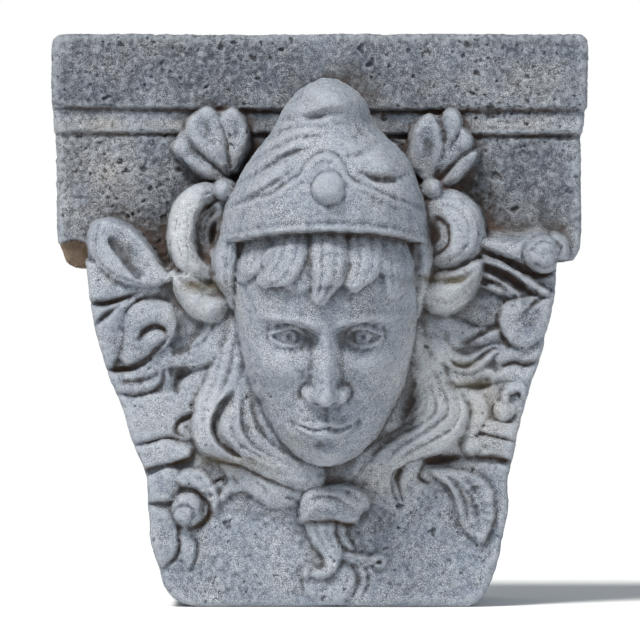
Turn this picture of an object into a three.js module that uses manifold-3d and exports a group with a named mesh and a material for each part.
// A carved limestone keystone: a moulded block, the tapered body of the keystone under it, and on
// their front a woman's head in a soft folded cap, with loose hair, coils over the ears, leaf
// sprays, buds and leaves. It is one stone, so it is one solid. Millimetres.
//
// The carving is laid out in a wall frame: x to the right, y up, z out of the wall, with z = 0 at
// the back of the stone. The last lines stand it in the part's frame: +Z up, the carved front
// facing -Y, the origin in the middle of the underside.
import * as THREE from "three";
import { mergeVertices } from "three/addons/utils/BufferGeometryUtils.js";
import Module from "manifold-3d";

const wasm = await Module();
wasm.setup();

// Driving dimensions
const BODY = { top: 352, depth: 226, arris: 5, frontFall: 6 };
const SLAB = { bottom: 343, top: 572 };
// The block's face steps out in three fasciae, each with its return on the ends.
const FASCIAE = [
  { bottom: SLAB.bottom, top: 474, left: -264, right: 262, depth: 180 },
  { bottom: 472, top: 499, left: -266, right: 264, depth: 185 },
  { bottom: 497, top: SLAB.top, left: -269, right: 268, depth: 192 },
];
// The sides of the body lean in towards the underside and swell at the shoulders: [x, y].
const LEFT_SIDE = [
  [-132, 0], [-153, 16], [-164, 56], [-171, 106], [-176, 136], [-190, 172],
  [-200, 212], [-217, 256], [-226, 290], [-232, 336], [-231, BODY.top],
];
const RIGHT_SIDE = [
  [154, 0], [169, 16], [179, 56], [188, 106], [187, 136], [192, 156],
  [202, 196], [217, 240], [227, 272], [233, 306], [234, BODY.top],
];
// The swell of hair between the body and the head.
const HAIR_MASS = { x: 4, y: 205, z: 190, rx: 132, ry: 165, rz: 72 };
// The head leans forward from the chin. Its own frame: a to the right, b up the face, c out of it.
const HEAD = {
  x: 6, y: 281, z: 235, tilt: THREE.MathUtils.degToRad(18),
  chin: -135, crown: 140, halfWidth: 91, widestAt: 30, front: 100, back: 70,
};
const CAP = { x: 4, y: 372, z: 232, rx: 103, ry: 97, rz: 124 };
const CAP_TIP = { x: 4, y: 486, z: 252, rx: 47, ry: 34, rz: 58 };
const BUTTON = { x: 9, y: 414, r: 14 };
const COIL = {
  leftX: -107, rightX: 119, y: 371, z: 222,
  r: 31, tube: 12, squash: 1.6, coreR: 13, coreTube: 7,
};

// How finely a carved member is faceted: sides round it, and steps along it by its length.
const MEMBER_SIDES = 6;
const MEMBER_STEP = 25;
const MEMBER_STEPS = { least: 5, most: 10 };

// Hair: [x, y, lift above the surface it lies on], half-width and half-thickness.
const HAIR = [
  {
    width: 10, thick: 13,
    path: [
      [-98, 281, 4], [-115, 244, 4], [-124, 206, 6], [-120, 169, 8],
      [-85, 148, 8], [-35, 128, 6], [-2, 114, 4],
    ],
  },
  {
    width: 9, thick: 12,
    path: [[-88, 276, 4], [-100, 236, 6], [-108, 201, 9], [-97, 168, 10], [-58, 142, 9], [0, 119, 6]],
  },
  {
    width: 9, thick: 12,
    path: [[-84, 261, 4], [-88, 221, 8], [-88, 186, 10], [-68, 156, 10], [-20, 130, 8]],
  },
  { width: 7, thick: 9, path: [[-82, 236, 2], [-72, 201, 6], [-50, 168, 8], [-15, 136, 6]] },
  { width: 5, thick: 6, path: [[-106, 151, 0], [-88, 130, 1], [-62, 112, 1], [-44, 103, 0]] },
  {
    width: 7, thick: 10,
    path: [[-104, 276, 4], [-120, 255, 6], [-142, 249, 8], [-154, 236, 7], [-144, 221, 4]],
  },
  { width: 6, thick: 8, path: [[-112, 262, 4], [-130, 236, 5], [-134, 214, 3]] },
  {
    width: 9, thick: 12,
    path: [
      [100, 271, 4], [110, 233, 8], [116, 206, 9], [104, 182, 9],
      [78, 166, 9], [56, 144, 8], [30, 120, 5],
    ],
  },
  {
    width: 10, thick: 13,
    path: [
      [110, 276, 4], [129, 234, 6], [144, 204, 8], [135, 172, 9],
      [100, 155, 8], [80, 138, 6], [82, 114, 3], [85, 98, 1],
    ],
  },
  {
    width: 8, thick: 11,
    path: [
      [105, 276, 5], [120, 236, 8], [131, 204, 10], [119, 178, 10],
      [88, 162, 9], [67, 138, 7], [66, 116, 3],
    ],
  },
  {
    width: 6, thick: 8,
    path: [[128, 164, 2], [105, 150, 5], [93, 136, 5], [99, 124, 4], [110, 128, 2]],
  },
  { width: 8, thick: 10, path: [[116, 284, 5], [142, 264, 7], [165, 266, 7], [184, 281, 3]] },
  { width: 8, thick: 10, path: [[122, 256, 5], [146, 242, 7], [165, 252, 7], [186, 256, 3]] },
  {
    width: 7, thick: 9,
    path: [[130, 232, 4], [150, 220, 6], [170, 221, 6], [181, 209, 5], [175, 194, 3]],
  },
];
// The hair drawn together under the chin and the curls that fall from it.
const KNOT = [
  { width: 17, thick: 20, path: [[-20, 102, 4], [14, 112, 12], [48, 102, 4]] },
  {
    width: 10, thick: 12,
    path: [[0, 96, 4], [0, 68, 6], [5, 54, 6], [15, 43, 6], [10, 30, 5], [-4, 33, 4], [-14, 36, 2]],
  },
  { width: 7, thick: 9, path: [[20, 92, 4], [21, 72, 5], [29, 60, 3]] },
  { width: 5, thick: 7, path: [[10, 56, 2], [40, 48, 3], [56, 51, 4], [67, 46, 3], [59, 40, 1]] },
  { width: 9, thick: 8, path: [[18, 50, 2], [30, 30, 2], [20, 15, 2], [0, 9, 0]] },
];
const FRINGE = [
  { width: 18, thick: 13, path: [[-68, 372, 0], [-76, 336, 3], [-86, 306, 0]] },
  { width: 14, thick: 13, path: [[-29, 372, 1], [-36, 340, 5], [-55, 315, 0]] },
  { width: 12, thick: 14, path: [[1, 374, 1], [-4, 338, 6], [0, 308, 1]] },
  { width: 10, thick: 12, path: [[20, 374, 0], [17, 340, 4], [8, 314, 0]] },
  { width: 13, thick: 13, path: [[38, 374, 1], [38, 342, 5], [41, 318, 0]] },
  { width: 17, thick: 13, path: [[72, 371, 0], [76, 334, 3], [83, 304, 0]] },
];
// Leaves, ribbons and buds. full is 1 for a plain ellipse outline, and less where it is blunter.
const FOLIAGE = [
  { width: 22, thick: 15, path: [[-146, 330, 2], [-180, 344, 12], [-208, 361, 12], [-224, 384, 6]] },
  { width: 13, thick: 10, path: [[-160, 316, 2], [-198, 318, 6], [-229, 316, 2]] },
  { width: 7, thick: 8, path: [[-166, 310, 2], [-198, 299, 5], [-225, 286, 2]] },
  { width: 18, thick: 13, path: [[-156, 308, 2], [-182, 290, 6], [-188, 262, 6], [-203, 244, 2]] },
  { width: 12, thick: 11, path: [[-168, 283, 2], [-198, 262, 4], [-214, 241, 1]] },
  { width: 9, thick: 6, full: 0.5, path: [[-148, 236, 2], [-175, 228, 3], [-206, 220, 1]] },
  { width: 9, thick: 6, full: 0.4, path: [[-124, 160, 2], [-155, 156, 3], [-187, 149, 1]] },
  { width: 20, thick: 17, path: [[-147, 96, 6], [-130, 103, 8], [-112, 108, 6]] },
  { width: 12, thick: 8, path: [[-156, 96, 1], [-157, 66, 3], [-152, 42, 0]] },
  { width: 8, thick: 8, path: [[-134, 86, 1], [-132, 58, 3], [-128, 40, 0]] },
  { width: 19, thick: 24, full: 0.6, path: [[190, 352, 4], [214, 356, 8], [238, 358, 6]] },
  { width: 4, thick: 7, path: [[158, 358, 2], [180, 352, 5], [204, 342, 4]] },
  { width: 4, thick: 7, path: [[160, 346, 2], [190, 330, 4], [222, 310, 2]] },
  { width: 4, thick: 7, path: [[154, 332, 2], [176, 322, 4], [202, 306, 2]] },
  { width: 20, thick: 13, path: [[229, 310, 2], [208, 291, 5], [186, 259, 1]] },
  {
    width: 6, thick: 7,
    path: [[176, 224, 2], [198, 217, 4], [194, 196, 4], [180, 186, 3], [171, 195, 1]],
  },
  { width: 9, thick: 6, full: 0.4, path: [[150, 161, 2], [172, 157, 3], [194, 152, 1]] },
  { width: 5, thick: 6, full: 0.4, path: [[160, 180, 1], [178, 175, 2], [196, 168, 1]] },
  { width: 16, thick: 11, path: [[108, 136, 2], [142, 116, 5], [159, 88, 4], [165, 63, 0]] },
];
// Sprays beside the cap: petals about a knob, each an angle from upright, a length and a width.
const SPRAYS = [
  { x: -93, y: 417, knob: 11, petals: [[-15, 84, 18], [6, 82, 15], [-49, 67, 11]] },
  { x: 112, y: 417, knob: 11, petals: [[-3, 76, 17], [16, 84, 11], [42, 64, 13], [66, 44, 11]] },
];
const PETAL = { thick: 13, lift: 20, rootLift: 12 };

// Closed meshes as solids, joined one by one.
function toSolid(geometry) {
  const bare = geometry.index ? geometry.toNonIndexed() : geometry.clone();
  bare.deleteAttribute("normal");
  bare.deleteAttribute("uv");
  const merged = mergeVertices(bare, 1e-3);
  const triVerts = new Uint32Array(merged.index.array);
  const make = () =>
    new wasm.Manifold(
      new wasm.Mesh({ numProp: 3, vertProperties: merged.attributes.position.array, triVerts }),
    );
  const made = make();
  if (made.volume() > 0) return made;
  for (let i = 0; i < triVerts.length; i += 3) {
    [triVerts[i + 1], triVerts[i + 2]] = [triVerts[i + 2], triVerts[i + 1]];
  }
  return make();
}

// Moves every vertex of a geometry by move(vertex), which changes it in place.
function reshape(geometry, move) {
  const places = geometry.attributes.position;
  const vertex = new THREE.Vector3();
  for (let i = 0; i < places.count; i++) {
    vertex.fromBufferAttribute(places, i);
    move(vertex);
    places.setXYZ(i, vertex.x, vertex.y, vertex.z);
  }
  return geometry;
}

// How far an ellipsoid's front stands out of the wall at x, y, or -Infinity beside it.
function ellipsoidFront(e, x, y) {
  const inside = 1 - ((x - e.x) / e.rx) ** 2 - ((y - e.y) / e.ry) ** 2;
  return inside > 0 ? e.z + e.rz * Math.sqrt(inside) : -Infinity;
}

function ellipsoid(e, across, up) {
  return new THREE.SphereGeometry(1, across, up).scale(e.rx, e.ry, e.rz).translate(e.x, e.y, e.z);
}

// The head's half-width and its middle's distance forward at height b up the face.
function headWidth(b) {
  const rise = (b - HEAD.widestAt) / (HEAD.crown - HEAD.widestAt);
  const fall = (HEAD.widestAt - b) / (HEAD.widestAt - HEAD.chin);
  const narrowing = rise > 0 ? rise ** 2.4 : fall ** 1.9;
  return HEAD.halfWidth * Math.sqrt(Math.max(0, 1 - narrowing));
}

function headForward(b) {
  const fullestAt = 10;
  const rise = (b - fullestAt) / (HEAD.crown - fullestAt);
  const fall = (fullestAt - b) / (fullestAt - HEAD.chin);
  const rounding = rise > 0 ? rise ** 3 : fall ** 8;
  return HEAD.front * Math.sqrt(Math.max(0, 1 - rounding));
}

function headSurface(a, b) {
  const across = Math.min(1, Math.abs(a) / Math.max(1, headWidth(b)));
  return headForward(b) * Math.sqrt(Math.max(0, 1 - across ** 2.3));
}

// The head's front in the wall frame at x, y: b is found by a few turns of substitution.
function headFront(x, y) {
  const [sin, cos] = [Math.sin(HEAD.tilt), Math.cos(HEAD.tilt)];
  let b = 0;
  for (let turn = 0; turn < 8; turn++) {
    b = (y - HEAD.y + headSurface(x - HEAD.x, b) * sin) / cos;
  }
  return HEAD.z + b * sin + headSurface(x - HEAD.x, b) * cos;
}

// The plain surface that hair and leaves lie on: the block, the body and the swell of hair.
function wallFront(x, y) {
  const fascia = FASCIAE.find((f) => y < f.top) ?? FASCIAE[2];
  const flat = y < SLAB.bottom ? BODY.depth - BODY.frontFall * (1 - y / SLAB.bottom) : fascia.depth;
  return Math.max(flat, ellipsoidFront(HAIR_MASS, x, y));
}

const capFront = (x, y) => Math.max(ellipsoidFront(CAP, x, y), ellipsoidFront(CAP_TIP, x, y), 200);

// A carved member: a ball drawn out along a curve that lies on a surface, tapered at both ends.
function member({ path, width, thick, full = 1 }, surface) {
  const curve = new THREE.CatmullRomCurve3(path.map((p) => new THREE.Vector3(...p)));
  const halfWidth = typeof width === "function" ? width : () => width;
  const wanted = Math.round(curve.getLength() / MEMBER_STEP);
  const steps = THREE.MathUtils.clamp(wanted, MEMBER_STEPS.least, MEMBER_STEPS.most);
  return reshape(new THREE.SphereGeometry(1, MEMBER_SIDES, steps), (v) => {
    const latitude = THREE.MathUtils.clamp(v.y, -1, 1);
    const along = (1 - latitude) / 4 + Math.acos(latitude) / (2 * Math.PI);
    const round = Math.hypot(v.x, v.z);
    const swell = round > 1e-6 ? round ** full / round : 0;
    const onPath = curve.getPoint(along);
    const heading = curve.getTangent(along).setZ(0).normalize();
    const across = v.x * swell * halfWidth(along);
    const height = onPath.z + surface(onPath.x, onPath.y) + v.z * swell * thick;
    v.set(onPath.x + heading.y * across, onPath.y - heading.x * across, height);
  });
}

// The block: three boxes, each a little deeper and longer than the one below.
function fasciae() {
  return FASCIAE.map((f) =>
    new THREE.BoxGeometry(f.right - f.left, f.top - f.bottom, f.depth).translate(
      (f.left + f.right) / 2, (f.top + f.bottom) / 2, f.depth / 2,
    ),
  );
}

// The body: the outline between its two sides, extruded out of the wall with worn arrises.
function body() {
  const side = (points) => new THREE.SplineCurve(points.map((p) => new THREE.Vector2(...p))).getPoints(20);
  const outline = new THREE.Shape([...side(RIGHT_SIDE), ...side(LEFT_SIDE).reverse()]);
  const block = new THREE.ExtrudeGeometry(outline, {
    depth: BODY.depth - 2 * BODY.arris, bevelSegments: 1, bevelThickness: BODY.arris,
    bevelSize: BODY.arris, bevelOffset: -BODY.arris, steps: 1,
  }).translate(0, 0, BODY.arris);
  // The front falls back a little towards the underside, which is cut level.
  return reshape(block, (v) => {
    if (v.z > BODY.depth / 2) v.z -= BODY.frontFall * (1 - v.y / BODY.top);
  });
}

function head() {
  const shell = reshape(new THREE.SphereGeometry(1, 20, 16), (v) => {
    const b = v.y * (v.y > 0 ? HEAD.crown : -HEAD.chin);
    const round = Math.max(1e-6, Math.hypot(v.x, v.z));
    const [across, out] = [v.x / round, v.z / round];
    const boxy = Math.abs(across) ** 0.85 * Math.sign(across);
    const forward = out > 0 ? headForward(b) : HEAD.back * Math.sqrt(Math.max(0, 1 - v.y * v.y));
    v.set(headWidth(b) * boxy, b, forward * out);
  });
  const feature = (path, width, thick, full) => member({ path, width, thick, full }, headSurface);
  const face = [
    feature([[0, 26, -3], [0, 0, 5], [0, -30, 16], [0, -46, 10]], (t) => 7 + 8 * t, 12),
    feature([[-13, -38, 3], [0, -42, 6], [13, -38, 3]], 8, 9),
    feature([[-26, -74, -1], [0, -68, 6], [26, -74, -1]], 6, 5),
    feature([[-20, -77, 0], [0, -83, 6], [20, -77, 0]], 6, 5),
    feature([[-14, -114, -2], [0, -112, 2], [14, -114, -2]], 14, 8),
  ];
  for (const side of [-1, 1]) {
    face.push(feature([[side * 16, 32, -2], [side * 38, 38, 2], [side * 62, 28, 0]], 6, 7));
    face.push(feature([[side * 21, 13, -6], [side * 37, 15, -5], [side * 54, 13, -6]], 9, 8));
  }
  const lean = new THREE.Matrix4().makeRotationX(HEAD.tilt).setPosition(HEAD.x, HEAD.y, HEAD.z);
  return [shell, ...face].map((g) => g.applyMatrix4(lean));
}

// The cap: a dome, the tip that folds forward over it, the folds, the brow band and its button.
function cap() {
  const band = (t) => 15 + 22 * Math.exp(-(((t - 0.52) / 0.13) ** 2));
  const fold = (path, width = 7, thick = 8) => member({ path, width, thick }, capFront);
  return [
    ellipsoid(CAP, 18, 14),
    ellipsoid(CAP_TIP, 12, 8),
    member({
      width: band, thick: 9, full: 0.35,
      path: [
        [-100, 374, 2], [-60, 388, 3], [-20, 397, 3], [9, 401, 3],
        [40, 397, 3], [76, 386, 3], [108, 373, 2],
      ],
    }, capFront),
    member({
      width: 4, thick: 7,
      path: [[-101, 362, 5], [-54, 373, 9], [6, 375, 9], [70, 372, 9], [110, 362, 5]],
    }, capFront),
    ellipsoid({ ...BUTTON, z: capFront(BUTTON.x, BUTTON.y) + 10, rx: BUTTON.r, ry: BUTTON.r, rz: 13 }, 8, 6),
    fold([[-88, 424, 0], [-54, 453, 2], [-27, 466, 3], [2, 478, 0]]),
    fold([[-82, 416, 0], [-45, 443, 2], [-20, 456, 3], [4, 463, 0]]),
    fold([[-58, 417, 0], [-27, 438, 2], [-8, 452, 0]]),
    fold([[-44, 486, 0], [-22, 472, 2], [10, 478, 3], [40, 486, 0]]),
    fold([[40, 448, 0], [68, 440, 3], [96, 424, 0]], 15, 12),
    fold([[50, 422, 0], [76, 414, 3], [102, 400, 0]], 12, 10),
  ];
}

// The coils of hair over the ears, each with the loop that hangs under it.
function coils() {
  const ring = (x, r, tube, z) =>
    new THREE.TorusGeometry(r, tube, 6, 14).scale(1, 1, COIL.squash).translate(x, COIL.y, z);
  const pieces = [];
  for (const [x, side] of [[COIL.leftX, -1], [COIL.rightX, 1]]) {
    const backing = { x, y: COIL.y, z: 190, rx: 36, ry: 36, rz: 34 };
    const loop = [
      [x + side * 37, 336, 24], [x + side * 33, 306, 12],
      [x + side * 10, 291, 10], [x - side * 13, 304, 12],
    ];
    pieces.push(ring(x, COIL.r, COIL.tube, COIL.z), ring(x, COIL.coreR, COIL.coreTube, COIL.z));
    pieces.push(ellipsoid(backing, 10, 6));
    pieces.push(member({ width: 13, thick: 22, path: loop }, (u, v) => Math.max(wallFront(u, v), 220) - 14));
    pieces.push(ellipsoid({ x: x - side * 4, y: 314, z: 215, rx: 26, ry: 24, rz: 26 }, 8, 6));
  }
  return pieces;
}

function spray({ x, y, knob, petals }) {
  const root = wallFront(x, y) + PETAL.rootLift;
  const blades = petals.map(([degrees, length, width]) => {
    const angle = THREE.MathUtils.degToRad(degrees);
    const point = (t, lift) => [x + Math.sin(angle) * length * t, y + Math.cos(angle) * length * t, lift];
    const path = [point(0.08, 0), point(0.5, 8), point(1, PETAL.lift - PETAL.rootLift)];
    return member({ path, width: (t) => width * (0.55 + 0.55 * t), thick: PETAL.thick }, () => root);
  });
  return [...blades, ellipsoid({ x, y, z: root + 6, rx: knob, ry: knob, rz: knob + 8 }, 8, 6)];
}

// The whole stone.
const pieces = [
  ...fasciae(),
  body(),
  ellipsoid(HAIR_MASS, 16, 12),
  ...head(),
  ...cap(),
  ...coils(),
  ...SPRAYS.flatMap(spray),
  ...FRINGE.map((lock) => member(lock, headFront)),
  ...[...HAIR, ...KNOT, ...FOLIAGE].map((m) => member(m, wallFront)),
];
let stone = toSolid(pieces[0]);
for (const piece of pieces.slice(1)) stone = stone.add(toSolid(piece));
// Its outer skin alone: the pockets sealed between overlapping members are solid stone too.
stone = stone.decompose().sort((a, b) => b.volume() - a.volume())[0];

const carved = stone.getMesh();
const geometry = new THREE.BufferGeometry();
geometry.setAttribute("position", new THREE.BufferAttribute(carved.vertProperties, 3));
geometry.setIndex(new THREE.BufferAttribute(carved.triVerts, 1));
geometry.computeVertexNormals();

const limestone = new THREE.MeshStandardMaterial({ color: 0x9a9fa6, roughness: 0.95, metalness: 0 });
const keystone = new THREE.Mesh(geometry, limestone);
keystone.name = "keystone";

// Out of the wall becomes -Y and up becomes +Z, with the middle of the underside at the origin.
const { min, max } = stone.boundingBox();
keystone.rotation.x = Math.PI / 2;
keystone.position.set(-(min[0] + max[0]) / 2, (min[2] + max[2]) / 2, -min[1]);

const root = new THREE.Group();
root.add(keystone);
export default root;
